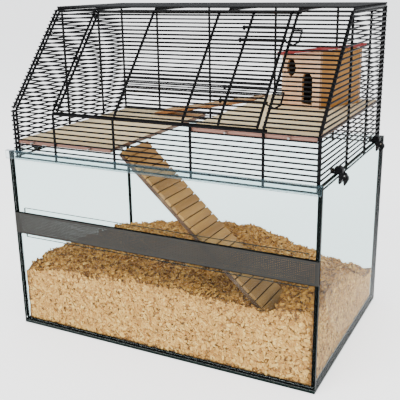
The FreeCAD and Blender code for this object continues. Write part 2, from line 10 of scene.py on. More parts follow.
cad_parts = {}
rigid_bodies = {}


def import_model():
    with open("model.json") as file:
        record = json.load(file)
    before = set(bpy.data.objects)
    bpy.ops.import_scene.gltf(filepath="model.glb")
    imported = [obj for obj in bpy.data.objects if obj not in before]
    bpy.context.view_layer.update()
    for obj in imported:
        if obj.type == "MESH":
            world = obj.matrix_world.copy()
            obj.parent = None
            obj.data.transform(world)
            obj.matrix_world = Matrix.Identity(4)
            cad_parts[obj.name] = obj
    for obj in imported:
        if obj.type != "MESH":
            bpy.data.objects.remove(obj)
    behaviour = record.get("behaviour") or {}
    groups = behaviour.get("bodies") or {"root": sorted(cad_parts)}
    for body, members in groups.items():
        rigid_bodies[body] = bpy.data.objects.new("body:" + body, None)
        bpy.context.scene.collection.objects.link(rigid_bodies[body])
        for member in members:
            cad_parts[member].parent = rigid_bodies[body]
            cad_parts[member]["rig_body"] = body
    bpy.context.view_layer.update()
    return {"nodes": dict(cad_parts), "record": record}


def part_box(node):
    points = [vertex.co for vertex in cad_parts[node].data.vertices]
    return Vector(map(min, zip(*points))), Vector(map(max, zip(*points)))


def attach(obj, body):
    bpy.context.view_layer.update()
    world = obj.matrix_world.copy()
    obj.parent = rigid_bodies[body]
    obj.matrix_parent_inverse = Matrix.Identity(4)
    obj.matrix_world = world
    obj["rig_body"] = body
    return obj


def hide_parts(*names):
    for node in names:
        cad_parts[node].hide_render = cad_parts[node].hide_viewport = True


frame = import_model()
nodes = frame["nodes"]

# ---- shader maths --------------------------------------------------------------------------------


class Value:
    """A socket in a sum: + - * / and ** add Math nodes, with a number on either side."""

    def __init__(self, finish, socket):
        self.finish = finish
        self.socket = socket

    def math(self, operation, *values):
        sockets = dict(enumerate(values))
        return self.finish.node("Math", {"operation": operation}, sockets)

    def __add__(self, other):
        return self.math("ADD", self, other)

    def __radd__(self, other):
        return self.math("ADD", other, self)

    def __sub__(self, other):
        return self.math("SUBTRACT", self, other)

    def __rsub__(self, other):
        return self.math("SUBTRACT", other, self)

    def __mul__(self, other):
        return self.math("MULTIPLY", self, other)

    def __rmul__(self, other):
        return self.math("MULTIPLY", other, self)

    def __truediv__(self, other):
        return self.math("DIVIDE", self, other)

    def __pow__(self, other):
        return self.math("POWER", self, other)

    def __abs__(self):
        return self.math("ABSOLUTE", self)

    def step(self, low, high):
        """0 below low, 1 above high, and a smooth rise between them."""
        sockets = {"Value": self, "From Min": low, "From Max": high}
        return self.finish.node("MapRange", {"interpolation_type": "SMOOTHSTEP"}, sockets)


class Finish:
    """A material that is built node by node."""

    def __init__(self, name):
        self.material = bpy.data.materials.new(name)
        self.material.use_nodes = True
        self.tree = self.material.node_tree
        self.tree.nodes.clear()
        self.place = self.node("TexCoord", out="Object")

    def node(self, kind, settings=None, sockets=None, out=0):
        """Adds a node: its settings first, then its sockets' values or links. Gives back one output."""
        made = self.tree.nodes.new("ShaderNode" + kind)
        for key, value in (settings or {}).items():
            if key == "stops":
                ramp = made.color_ramp.elements
                while len(ramp) < len(value):
                    ramp.new(0.5)
                for element, (where, colour) in zip(ramp, value):
                    element.position = where
                    element.color = (*colour, 1)
            else:
                setattr(made, key, value)
        for key, value in (sockets or {}).items():
            if isinstance(value, Value):
                self.tree.links.new(value.socket, made.inputs[key])
            elif isinstance(value, tuple) and made.inputs[key].type == "RGBA":
                made.inputs[key].default_value = (*value, 1)
            else:
                made.inputs[key].default_value = value
        return Value(self, made.outputs[out])

    def stretched(self, x, y, z):
        """The object's own coordinates, with each axis scaled."""
        return self.node("Mapping", None, {"Vector": self.place, "Scale": (x, y, z)})

    def noise(self, scale, detail=3.0, rough=0.5, place=None):
        sockets = {"Vector": place or self.place, "Scale": scale, "Detail": detail, "Roughness": rough}
        return self.node("TexNoise", None, sockets)

    def cells(self, scale, out="Distance"):
        return self.node("TexVoronoi", None, {"Vector": self.place, "Scale": scale}, out)

    def mix(self, factor, a, b):
        """Colour a where factor is 0 and b where it is 1."""
        return self.node("Mix", {"data_type": "RGBA"}, {0: factor, 6: a, 7: b}, 2)

    def ramp(self, factor, *stops):
        return self.node("ValToRGB", {"stops": stops}, {"Fac": factor})

    def axis(self, source, letter):
        return self.node("SeparateXYZ", None, {0: source}, letter)

    def along(self, direction):
        """How squarely the surface faces along a direction, from 0 to 1, whichever way it faces."""
        normal = self.node("TexCoord", out="Normal")
        sockets = {0: normal, 1: direction}
        return abs(self.node("VectorMath", {"operation": "DOT_PRODUCT"}, sockets, "Value"))

    def faces(self, point):
        """How far the surface turns towards a point, in metres along its normal; away from it is negative."""
        normal = self.node("TexCoord", out="Normal")
        toward = self.node("VectorMath", {"operation": "SUBTRACT"}, {0: point, 1: self.place})
        return self.node("VectorMath", {"operation": "DOT_PRODUCT"}, {0: normal, 1: toward}, "Value")

    def bump(self, height, strength, distance=0.001):
        return self.node("Bump", None, {"Strength": strength, "Distance": distance, "Height": height})

    def shader(self, sockets):
        return self.node("BsdfPrincipled", None, sockets)

    def done(self, shader):
        output = self.tree.nodes.new("ShaderNodeOutputMaterial")
        self.tree.links.new(shader.socket, output.inputs["Surface"])
        return self.material


# ---- finishes ------------------------------------------------------------------------------------


def black_coating():
    """Gloss black coating on wire, a little uneven where it ran."""
    f = Finish("black coated wire")
    runs = f.noise(260, 3)
    blotch = f.noise(38, 2)
    return f.done(f.shader({
        "Base Color": f.mix(blotch, (0.0012, 0.0012, 0.0016), (0.0035, 0.0035, 0.0045)),
        "Roughness": 0.3 + 0.2 * runs,
        "Specular IOR Level": 0.07,
        "Normal": f.bump(runs, 0.25, 0.0004),
    }))


def clear_glass(name, thickness_axis, tint=(0.96, 0.985, 0.98)):
    """Float glass: a faint cool tint through its faces, and deep green along its cut edges.

    The reflection rises steeply as the view grazes the face, the same from both sides of the pane.
    """
    f = Finish(name)
    cut = 1 - f.along(thickness_axis).step(0.3, 0.9)
    smear = f.noise(9, 2)
    faint = f.noise(60, 3)
    see_through = f.node("BsdfTransparent", None, {"Color": tint})
    gloss = f.shader({"Base Color": (0.16, 0.20, 0.20), "Roughness": 0.02 + 0.06 * smear})
    edge = f.shader({
        "Base Color": f.mix(faint, (0.0004, 0.003, 0.0024), (0.0014, 0.009, 0.007)),
        "Roughness": 0.3 + 0.2 * faint,
        "Specular IOR Level": 0.08,
    })
    grazing = f.node("LayerWeight", None, {"Blend": 0.5}, "Facing")
    mirror = 0.17 * grazing ** 6 + 0.008 + 0.012 * smear
    face = f.node("MixShader", None, {0: mirror, 1: see_through, 2: gloss})
    return f.done(f.node("MixShader", None, {0: cut, 1: face, 2: edge}))


def clear_profile():
    """Clear plastic with a cool cast and fine lines along it: darker on its cut edges, and painted black
    along its foot as the shade there.
    """
    f = Finish("clear profile")
    lines = f.noise(900, 2, 0.5, f.stretched(0.01, 1, 1))
    see_through = f.node("BsdfTransparent", None, {"Color": (0.93, 0.965, 0.975)})
    cut = 1 - f.along((0, 1, 0)).step(0.4, 0.9)
    pale = f.mix(lines, (0.30, 0.42, 0.46), (0.50, 0.64, 0.68))
    # The foot: the bottom few millimetres painted black and made nearly solid, as painted shade.
    foot = 1 - f.axis(f.place, "Z").step(0.3362, 0.3385)
    body = f.shader({
        "Base Color": f.mix(foot, f.mix(cut, pale, (0.055, 0.11, 0.14)), (0.002, 0.003, 0.004)),
        "Roughness": 0.1 + 0.12 * lines,
        "Normal": f.bump(lines, 0.2, 0.0003),
    })
    grazing = f.node("LayerWeight", None, {"Blend": 0.5}, "Facing")
    solid = 0.02 + 0.5 * cut + 0.35 * foot + 0.1 * grazing ** 4
    return f.done(f.node("MixShader", None, {0: solid, 1: see_through, 2: body}))


def sealant():
    """Black silicone, tooled by hand so its surface ripples slowly."""
    f = Finish("black silicone")
    ripple = f.noise(70, 2)
    fine = f.noise(700, 2)
    return f.done(f.shader({
        "Base Color": f.mix(ripple, (0.001, 0.0016, 0.0015), (0.0024, 0.004, 0.0036)),
        "Roughness": 0.5 + 0.2 * fine,
        "Specular IOR Level": 0.03,
        "Normal": f.bump(ripple + 0.15 * fine, 0.4, 0.0008),
    }))


def perforated_sheet():
    """Dark grey painted sheet, paler in small patches where the paint wore."""
    f = Finish("dark perforated sheet")
    wear = f.noise(240, 4, 0.6)
    cloud = f.noise(16, 3)
    paint = f.mix(cloud, (0.010, 0.009, 0.007), (0.021, 0.019, 0.015))
    return f.done(f.shader({
        "Base Color": f.mix(wear.step(0.58, 0.78), paint, (0.040, 0.037, 0.030)),
        "Metallic": 0.1,
        "Roughness": 0.46 + 0.2 * wear,
        "Specular IOR Level": 0.3,
        "Normal": f.bump(wear, 0.25, 0.0003),
    }))


def wood_grain(f, along, spread, scale):
    """Long fibres and slower bands; along is the grain's direction and spread how drawn out it is."""
    squeeze = [1 / spread if abs(a) > 0.5 else 1.0 for a in along]
    place = f.stretched(*squeeze)
    fibres = f.noise(scale, 5, 0.65, place)
    bands = f.noise(scale / 9, 2, 0.5, place)
    return fibres, bands


def board(name, pale, dark, edge_pale, edge_dark, grain, thickness_axis, room=None):
    """Plywood: grain on its faces, and across its edges the plies as stripes of two browns.

    The edges that face along the grain are dark: end grain, darkened further as painted shade. A wall's face
    towards the room, a point inside the house, is painted near black as the shade inside the house.
    """
    plies = 0.0018
    # ends: the colour of the end-grain edges, partly end grain and partly painted shade.
    ends = (0.085, 0.034, 0.004)
    painted_room_shade = (0.020, 0.007, 0.003)
    f = Finish(name)
    fibres, bands = wood_grain(f, grain, 14, 420)
    figure = bands.step(0.3, 0.72)
    face = f.mix(figure * 0.75 + 0.25 * fibres, pale, dark)
    pores = fibres.step(0.62, 0.74)
    face = f.mix(pores * 0.35, face, tuple(0.55 * c for c in dark))
    across = f.node("VectorMath", {"operation": "DOT_PRODUCT"}, {0: f.place, 1: thickness_axis}, "Value")
    wobble = f.noise(90, 2) * 0.25
    count = across / plies + wobble
    layer = count.math("PINGPONG", count, 1.0)
    edge = f.mix(layer.step(0.25, 0.75), edge_pale, edge_dark)
    # End-grain edges: dark end grain, with painted shade on top of it.
    edge = f.mix(f.along(grain).step(0.5, 0.8) * (0.7 + 0.3 * fibres), edge, ends)
    cut = 1 - f.along(thickness_axis).step(0.45, 0.8)
    # Inner faces of the walls get painted shade, the shade inside the house.
    if room:
        inner = f.faces(room).step(0.0, 0.01)
        face = f.mix(inner * (0.86 + 0.14 * bands), face, painted_room_shade)
    relief = fibres + 0.6 * cut * layer
    return f.done(f.shader({
        "Base Color": f.mix(cut, face, edge),
        "Roughness": 0.5 + 0.22 * fibres,
        "Normal": f.bump(relief, 0.35, 0.0005),
    }))


def slat_wood(name, tones, grain):
    """Sawn softwood: each slat its own tone, with brown wear, and painted darker towards its foot as the
    shade down in the shavings.
    """
    worn = (0.20, 0.13, 0.07)
    painted_foot_shade = (0.10, 0.055, 0.012)
    f = Finish(name)
    fibres, bands = wood_grain(f, grain, 10, 520)
    tone = f.noise(52, 0, 0.5, f.stretched(1, 0.03, 1))
    level = tone.step(0.28, 0.72) * 0.7 + 0.3 * bands
    wood = f.ramp(level, (0.0, tones[0]), (0.5, tones[1]), (1.0, tones[2]))
    wood = f.mix(fibres.step(0.55, 0.8) * 0.5, wood, tuple(0.5 * c for c in tones[2]))
    grime = f.noise(30, 4, 0.6)
    wood = f.mix(grime.step(0.5, 0.8) * 0.5, wood, worn)
    # Painted shade: towards the foot, down in the shavings, the slats darken.
    foot_shade_mask = 1 - f.axis(f.place, "Z").step(0.07, 0.19)
    wood = f.mix(foot_shade_mask * 0.6, wood, painted_foot_shade)
    return f.done(f.shader({
        "Base Color": wood,
        "Roughness": 0.58 + 0.2 * fibres,
        "Normal": f.bump(fibres + 0.4 * bands, 0.5, 0.0006),
    }))


def red_stain():
    """Red paint on a board: the grain shows through, and it is rubbed paler in patches."""
    f = Finish("red painted board")
    fibres, bands = wood_grain(f, (1, 0, 0), 10, 380)
    paint = f.mix(fibres * 0.7 + 0.3 * bands, (0.17, 0.003, 0.004), (0.36, 0.011, 0.012))
    rubbed = f.noise(110, 4, 0.7).step(0.62, 0.75)
    return f.done(f.shader({
        "Base Color": f.mix(rubbed * 0.25, paint, (0.50, 0.12, 0.08)),
        "Roughness": 0.34 + 0.25 * fibres,
        "Normal": f.bump(fibres, 0.4, 0.0005),
    }))


def bare_steel():
    """Drawn steel wire, with a little brown tarnish."""
    f = Finish("bare steel wire")
    dull = f.noise(150, 3)
    return f.done(f.shader({
        "Base Color": f.mix(dull.step(0.45, 0.75), (0.34, 0.33, 0.32), (0.16, 0.11, 0.075)),
        "Metallic": 0.9,
        "Roughness": 0.28 + 0.25 * dull,
        "Normal": f.bump(dull, 0.2, 0.0003),
    }))


def black_plastic():
    """Moulded black plastic with a fine spark-eroded grain."""
    f = Finish("black moulded plastic")
    grain = f.noise(1500, 2)
    scuffs = f.noise(70, 4, 0.7).step(0.6, 0.8)
    return f.done(f.shader({
        "Base Color": f.mix(scuffs * 0.5, (0.002, 0.002, 0.0026), (0.012, 0.012, 0.014)),
        "Roughness": 0.4 + 0.16 * grain + 0.1 * scuffs,
        "Specular IOR Level": 0.12,
        "Normal": f.bump(grain, 0.3, 0.0003),
    }))


def shaving_wood():
    """Chips of softwood. Each chip carries (along, across, tone), so its fibres run its own way. Higher up
    the heap the chips are painted darker and more orange, as shade.
    """
    f = Finish("softwood shavings")
    strip = f.node("Attribute", {"attribute_name": "strip"}, None, "Vector")
    tone = f.axis(strip, "Z")
    place = f.node("VectorMath", {"operation": "MULTIPLY"}, {0: strip, 1: (60, 900, 40)})
    fibres = f.noise(1.0, 3, 0.6, place)
    level = tone * 0.8 + 0.2 * fibres
    wood = f.ramp(level, (0.0, (0.11, 0.032, 0.003)), (0.2, (0.38, 0.15, 0.020)),
                  (0.6, (0.61, 0.31, 0.066)), (1.0, (0.84, 0.53, 0.17)))
    # Painted shade: a darker, more orange ramp for the chips higher up the heap.
    painted_crest_shade = f.ramp(level, (0.0, (0.045, 0.012, 0.001)), (0.3, (0.21, 0.078, 0.004)),
                    (1.0, (0.60, 0.28, 0.026)))
    wood = f.mix(f.axis(f.place, "Z").step(0.105, 0.15) * 0.8, wood, painted_crest_shade)
    return f.done(f.shader({
        "Base Color": wood,
        "Roughness": 0.6 + 0.2 * fibres,
        "Normal": f.bump(fibres, 0.3, 0.0004),
    }))


def packed_shavings():
    """The heap behind the loose chips: small pieces pressed together, with painted shade in the gaps."""
    f = Finish("packed shavings")
    near = f.cells(170)
    pick = f.axis(f.cells(170, "Color"), "X")
    small = f.noise(420, 3)
    wood = f.ramp(pick * 0.7 + 0.3 * small, (0.0, (0.12, 0.036, 0.004)),
                  (0.5, (0.34, 0.135, 0.016)), (1.0, (0.60, 0.30, 0.062)))
    # Painted shade: dark brown in the gaps between the pieces.
    gap_shade = near.step(0.35, 0.75)
    return f.done(f.shader({
        "Base Color": f.mix(gap_shade * 0.8, wood, (0.10, 0.038, 0.008)),
        "Roughness": 0.72 + 0.15 * small,
        "Normal": f.bump(1 - near + 0.3 * small, 0.8, 0.003),
    }))


def pale_floor():
    """A matt pale sheet that gives off an even white light, so the lamps leave no pools on it."""
    f = Finish("pale floor")
    cloud = f.noise(1.3, 2)
    return f.done(f.shader({
        "Base Color": f.mix(cloud, (0.80, 0.805, 0.81), (0.84, 0.843, 0.846)),
        "Roughness": 0.62 + 0.1 * cloud,
        "Emission Color": (1.0, 1.0, 1.0),
        "Emission Strength": 1.5,
    }))


# ---- mesh helpers --------------------------------------------------------------------------------


def piece(name, points, faces, finish, body, slot, replaced=(), smooth=True, attributes=None):
    """Puts arrays of points and faces in a mesh that rides on a body."""
    mesh = bpy.data.meshes.new(name)
    mesh.from_pydata(np.asarray(points, float).tolist(), [], [list(map(int, f)) for f in faces])
    mesh.polygons.foreach_set("use_smooth", np.full(len(mesh.polygons), smooth))
    for key, values in (attributes or {}).items():
        attribute = mesh.attributes.new(key, "FLOAT_VECTOR", "POINT")
        attribute.data.foreach_set("vector", np.asarray(values, np.float32).ravel())
    mesh.materials.append(finish)
    mesh.update()
    made = bpy.data.objects.new(name, mesh)
    bpy.context.scene.collection.objects.link(made)
    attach(made, body)
    if replaced:
        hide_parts(*replaced)
    return made


def grid_faces(rows, columns, start):
    """The quads of a grid of points, row after row."""
    r, c = np.meshgrid(np.arange(rows - 1), np.arange(columns - 1), indexing="ij")
    a = (r * columns + c).ravel() + start
    return np.stack([a, a + 1, a + columns + 1, a + columns], 1)


def ring_faces(rings, sides):
    """Quads round a run of rings, and a flat face on each end."""
    row, column = np.meshgrid(np.arange(rings - 1), np.arange(sides), indexing="ij")
    after = (column + 1) % sides
    quads = np.stack([row * sides + column, row * sides + after, (row + 1) * sides + after,
                      (row + 1) * sides + column], -1).reshape(-1, 4).tolist()
    return quads + [list(range(sides))[::-1], [(rings - 1) * sides + s for s in range(sides)]]


def weld(made):
    """Joins points that share a place, and turns every face outwards."""
    build = bmesh.new()
    build.from_mesh(made.data)
    bmesh.ops.remove_doubles(build, verts=build.verts, dist=1e-6)
    bmesh.ops.recalc_face_normals(build, faces=build.faces)
    build.to_mesh(made.data)
    build.free()


def body_of(node):
    return nodes[node]["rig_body"]


def slot_of(node):
    for part in frame["record"]["subparts"]:
        if part["node"] == node:
            return part["material_slot"]
    return None


def mesh_points(mesh):
    flat = np.zeros(len(mesh.vertices) * 3, np.float32)
    mesh.vertices.foreach_get("co", flat)
    return flat.reshape(-1, 3).astype(float)


def softened(node, finish, width):
    """A copy of a CAD node with its triangles joined into flat faces and its edges rounded."""
    mesh = nodes[node].data.copy()
    build = bmesh.new()
    build.from_mesh(mesh)
    bmesh.ops.remove_doubles(build, verts=build.verts, dist=1e-6)
    flat = math.radians(0.5)
    bmesh.ops.dissolve_limit(build, angle_limit=flat, verts=build.verts, edges=build.edges)
    build.to_mesh(mesh)
    build.free()
    mesh.polygons.foreach_set("use_smooth", np.ones(len(mesh.polygons), bool))
    mesh.materials.clear()
    mesh.materials.append(finish)
    made = bpy.data.objects.new(node + "_rounded", mesh)
    bpy.context.scene.collection.objects.link(made)
    bevel = made.modifiers.new("edges", "BEVEL")
    bevel.width = width
    bevel.segments = 2
    bevel.limit_method = "ANGLE"
    bevel.angle_limit = math.radians(32)
    bevel.harden_normals = True
    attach(made, body_of(node))
    slot_of(node)
    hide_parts(node)


def repaint(node, finish):
    """A CAD node that keeps its shape gets its finish."""
    mesh = nodes[node].data
    mesh.materials.clear()
    mesh.materials.append(finish)


# ---- wires ---------------------------------------------------------------------------------------


def rods_of(node):
    """Each straight wire of a node as (start, end, radius): its corners' main axis, and its reach on it.

    The node's triangles are first sorted into separate solids: every triangle hands the lowest label of
    its corners to all of them, until nothing changes.
    """
    mesh = nodes[node].data
    points, merged = np.unique(np.round(mesh_points(mesh), 6), axis=0, return_inverse=True)
    merged = merged.ravel()
    corners = np.zeros(len(mesh.loops), np.int32)
    mesh.loops.foreach_get("vertex_index", corners)
    triangles = merged[corners].reshape(-1, 3)
    label = np.arange(len(points))
    while True:
        lowest = label[triangles].min(axis=1)
        new = label.copy()
        np.minimum.at(new, triangles, np.repeat(lowest[:, None], 3, 1))
        if np.array_equal(new, label):
            break
        label = new
    found = []
    for each in np.unique(label):
        own = points[label == each]
        middle = (own.min(0) + own.max(0)) / 2
        axis = np.linalg.svd(own - own.mean(0), full_matrices=False)[2][0]
        reach = (own - middle) @ axis
        away = (own - middle) - reach[:, None] * axis
        radius = np.linalg.norm(away, axis=1).max()
        found.append((middle + axis * reach.min(), middle + axis * reach.max(), radius))
    return found


def frames_for(direction):
    """Two unit vectors square to each direction."""
    helper = np.where(np.abs(direction[:, 2:3]) < 0.9, [[0.0, 0.0, 1.0]], [[1.0, 0.0, 0.0]])
    first = np.cross(direction, helper)
    first /= np.linalg.norm(first, axis=1, keepdims=True)
    return first, np.cross(direction, first)


def ringed_mesh(centre, radius, side, other, sides):
    """Runs of round rings: each ring's points go round its centre in the plane of side and other."""
    around = np.arange(sides) * 2 * math.pi / sides
    ring = np.cos(around)[:, None, None] * side + np.sin(around)[:, None, None] * other
    points = centre[:, :, None] + radius[:, :, None, None] * ring.transpose(1, 0, 2)[:, None]
    runs, rings = radius.shape
    size = rings * sides
    one = ring_faces(rings, sides)
    faces = [[v + k * size for v in face] for k in range(runs) for face in one]
    return points.reshape(-1, 3), faces


def wire_mesh(rods):
    """Round wires with rounded ends: at each end the rings' radius is the sine of a turn from 6 to 90
    degrees, and their place three quarters of one minus its cosine, both times the wire's radius."""
    start = np.array([r[0] for r in rods])
    end = np.array([r[1] for r in rods])
    radius = np.array([r[2] for r in rods])
    length = np.linalg.norm(end - start, axis=1)
    direction = (end - start) / length[:, None]
    turn = np.radians([6, 32, 60, 90])
    share = np.concatenate([np.sin(turn), np.sin(turn[::-1])])
    inset = 0.75 * (1 - np.sqrt(1 - np.sin(turn) ** 2))
    place = radius[:, None] * np.concatenate([inset, -inset[::-1]])
    place[:, len(turn):] += length[:, None]
    centre = start[:, None] + direction[:, None] * place[:, :, None]
    return ringed_mesh(centre, radius[:, None] * share, *frames_for(direction), 12)


def crossings(rods):
    """Where two wires of a panel touch: the nearest points of each pair of lines, when they are that near."""
    slack = 0.0004
    found = []
    for i, (a, b, r) in enumerate(rods):
        for c, d, s in rods[i + 1:]:
            u, v, w = b - a, d - c, a - c
            uu, uv, vv, uw, vw = u @ u, u @ v, v @ v, u @ w, v @ w
            square = uu * vv - uv * uv
            if square < 1e-3 * uu * vv:
                continue
            p = np.clip((uv * vw - vv * uw) / square, 0, 1)
            q = np.clip((uu * vw - uv * uw) / square, 0, 1)
            near, far = a + p * u, c + q * v
            gap = np.linalg.norm(near - far)
            if gap < r + s + slack:
                found.append((near + (far - near) * r / (r + s), (far - near) / gap, min(r, s)))
    return found


def weld_mesh(joints):
    """Weld nuggets: a low collar of 8 sides and 5 rings, widest where the wires touch.

    Its rings' heights and widths are shares of the thinner wire's radius.
    """
    middle = np.array([j[0] for j in joints])
    direction = np.array([j[1] for j in joints])
    radius = np.array([j[2] for j in joints])
    up = np.array([-0.55, -0.3, 0.0, 0.3, 0.55])
    wide = np.array([0.35, 0.78, 0.95, 0.78, 0.35])
    centre = middle[:, None] + direction[:, None] * (up * radius[:, None])[:, :, None]
    return ringed_mesh(centre, wide * radius[:, None], *frames_for(direction), 8)


def make_panel(node, finish):
    """A wire panel: its wires with rounded ends, and a weld at each crossing."""
    body, slot = body_of(node), slot_of(node)
    rods = rods_of(node)
    points, faces = wire_mesh(rods)
    piece(node + "_wires", points, faces, finish, body, slot, [node])
    welds = crossings(rods)
    if welds:
        points, faces = weld_mesh(welds)
        piece(node + "_welds", points, faces, finish, body, slot)


# ---- wood shavings -------------------------------------------------------------------------------

off_glass = 0.0006
floor_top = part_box("floor_pane")[1].z
glass_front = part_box("front_lower_pane")[1].y + off_glass
glass_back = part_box("rear_pane")[0].y - off_glass
glass_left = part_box("left_pane")[1].x + off_glass
glass_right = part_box("right_pane")[0].x - off_glass
rails_low, rails_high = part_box("ladder_rails")
slats_low, slats_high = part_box("ladder_slats")
ladder_angle = math.radians(42.5)
rail_depth = 0.007
bed_level = 0.124
# Each heap, or hollow, is its middle's x and y, its reach and its height.
heaps = ((0.020, 0.060, 0.090, 0.016), (0.300, -0.060, 0.075, 0.036), (-0.290, -0.190, 0.060, -0.010),
         (0.280, 0.200, 0.125, -0.058), (-0.300, 0.190, 0.120, -0.034), (0.020, -0.190, 0.060, 0.012),
         (0.105, 0.115, 0.008, 0.013), (0.150, 0.110, 0.006, 0.010), (0.188, 0.100, 0.008, 0.011),
         (-0.235, -0.120, 0.014, 0.010), (-0.190, -0.080, 0.016, 0.009))
# Each size of lump is its height, its width and its seed.
lumps = ((0.011, 0.050, 1), (0.010, 0.021, 2), (0.006, 0.009, 3))


def rolling(x, y, size, seed):
    """Smooth noise from 0 to 1: a seeded table of numbers, blended by smooth steps between its points."""
    table = np.random.default_rng(seed).random((256, 256))
    u, v = x / size + 700.0, y / size + 700.0
    i, j = np.floor(u).astype(int), np.floor(v).astype(int)
    s, t = u - i, v - j
    s, t = s * s * (3 - 2 * s), t * t * (3 - 2 * t)
    i, j = i % 255, j % 255
    low = table[i, j] * (1 - s) + table[i + 1, j] * s
    high = table[i, j + 1] * (1 - s) + table[i + 1, j + 1] * s
    return low * (1 - t) + high * t


def heap_height(x, y):
    """The level of the shavings: a base, a sum of bell-shaped heaps and hollows, and lumps of three sizes.

    Under the ladder it stays below the ladder's underside, and a smooth step beside the ladder's edges
    brings it back to its own level.
    """
    clearance = 0.004
    step_start, step_width = 0.003, 0.012
    z = np.full(np.shape(x), bed_level)
    for cx, cy, reach, height in heaps:
        z = z + height * np.exp(-((x - cx) ** 2 + (y - cy) ** 2) / (2 * reach * reach))
    for height, width, seed in lumps:
        z = z + height * (rolling(x, y, width, seed) - 0.5)
    foot = rails_high.x - rail_depth * math.sin(ladder_angle)
    under = rails_low.z + (foot - x) * math.tan(ladder_angle) - clearance
    outside = np.maximum(slats_low.y - y, y - slats_high.y)
    outside = np.maximum(outside, x - slats_high.x)
    wall = np.clip((outside - step_start) / step_width, 0, 1)
    return np.where(z > under, under + (z - under) * wall * wall * (3 - 2 * wall), z)


def make_heap(finish):
    """The heap as one closed skin: its top, its underside, and four sides dented inwards by smooth noise."""
    low = floor_top + 0.0015
    margin = 0.002
    deepest = 0.0035
    lump = 0.008
    x = np.linspace(glass_left + margin, glass_right - margin, 210)
    y = np.linspace(glass_front + margin, glass_back - margin, 140)
    gx, gy = np.meshgrid(x, y, indexing="ij")
    top = np.stack([gx, gy, heap_height(gx, gy)], -1)
    sheets = [top, np.stack([gx, gy, np.full(gx.shape, low)], -1)[::-1]]
    depth = np.linspace(0, 1, 26)
    bulge = np.sin(math.pi * depth)[:, None]
    for line, out, axis in ((top[:, 0], -1, 1), (top[:, -1], 1, 1), (top[0], -1, 0), (top[-1], 1, 0)):
        wall = np.repeat(line[None], len(depth), 0)
        wall[..., 2] += (low - line[None, :, 2]) * depth[:, None]
        across = wall[..., 1 - axis]
        wall[..., axis] -= out * deepest * bulge * rolling(across, wall[..., 2], lump, 5 + axis)
        flip = (axis == 1) == (out > 0)
        sheets.append(wall[::-1] if flip else wall)
    points, faces, count = [], [], 0
    for sheet in sheets:
        faces.append(grid_faces(sheet.shape[0], sheet.shape[1], count)[:, ::-1])
        points.append(sheet.reshape(-1, 3))
        count += sheet.shape[0] * sheet.shape[1]
    weld(piece("shavings_heap", np.concatenate(points), np.concatenate(faces), finish, "tank",
               slot_of("bedding"), ["bedding"]))


def unit(v):
    return v / np.linalg.norm(v, axis=-1, keepdims=True)


def chip_mesh(rng, centre, normal, lean, long_range, curl_range):
    """Curled chips. Each is an arc s -> (R sin s, w, R (1 - cos s)) of 4 points, w wide and 0.5 mm thick.

    It faces along normal, tipped at random in proportion to lean, and is turned at random about that. Its
    points carry how far along and across the chip they are, and the chip's tone.
    """
    n = len(centre)
    thick = 0.0005
    slender, broad = 0.32, 0.62
    end_taper = 0.35
    facing = unit(normal + lean * rng.normal(size=(n, 3)) * 0.5)
    tangent = unit(np.cross(facing, rng.normal(size=(n, 3))))
    across = np.cross(facing, tangent)
    length = rng.uniform(*long_range, n)
    width = length * rng.uniform(slender, broad, n)
    bend = rng.uniform(*curl_range, n)
    radius = length / (2 * bend)
    flip = np.where(rng.random(n) < 0.5, -1.0, 1.0)
    s = np.linspace(-1, 1, 4)
    turn = s[None] * bend[:, None]
    layers = []
    for lift in (0.0, thick):
        run = (radius[:, None] - flip[:, None] * lift) * np.sin(turn)
        rise = flip[:, None] * (radius[:, None] * (1 - np.cos(turn))) + lift * np.cos(turn)
        for w in (-0.5, 0.5):
            taper = 1 - end_taper * np.abs(s[None]) ** 2
            spot = centre[:, None] + tangent[:, None] * run[:, :, None] + facing[:, None] * rise[:, :, None]
            layers.append(spot + across[:, None] * (w * width[:, None] * taper)[:, :, None])
    points = np.stack(layers, 1)
    tone = np.clip(rng.normal(0.55, 0.24, n), 0, 1)
    strip = np.zeros(points.shape)
    strip[..., 0] = (length[:, None] * s[None] / 2)[:, None] + rng.random(n)[:, None, None]
    edge = width[:, None] * np.array([-0.5, 0.5, -0.5, 0.5])[None]
    strip[..., 1] = edge[:, :, None] + tone[:, None, None]
    strip[..., 2] = tone[:, None, None]
    a, b, c, d = (np.arange(4) + 4 * k for k in range(4))
    quads = []
    for k in range(3):
        quads += [(a[k], a[k + 1], b[k + 1], b[k]), (c[k], d[k], d[k + 1], c[k + 1])]
        quads += [(a[k], c[k], c[k + 1], a[k + 1]), (b[k], b[k + 1], d[k + 1], d[k])]
    quads += [(a[0], b[0], d[0], c[0]), (a[3], c[3], d[3], b[3])]
    faces = (np.array(quads)[None] + 16 * np.arange(n)[:, None, None]).reshape(-1, 4)
    return points.reshape(-1, 3), faces, strip.reshape(-1, 3)


def slope_of(x, y):
    """The heap's upward normal, from its height a little to each side."""
    d = 0.004
    dx = (heap_height(x + d, y) - heap_height(x - d, y)) / (2 * d)
    dy = (heap_height(x, y + d) - heap_height(x, y - d)) / (2 * d)
    return unit(np.stack([-dx, -dy, np.ones(np.shape(x))], -1))


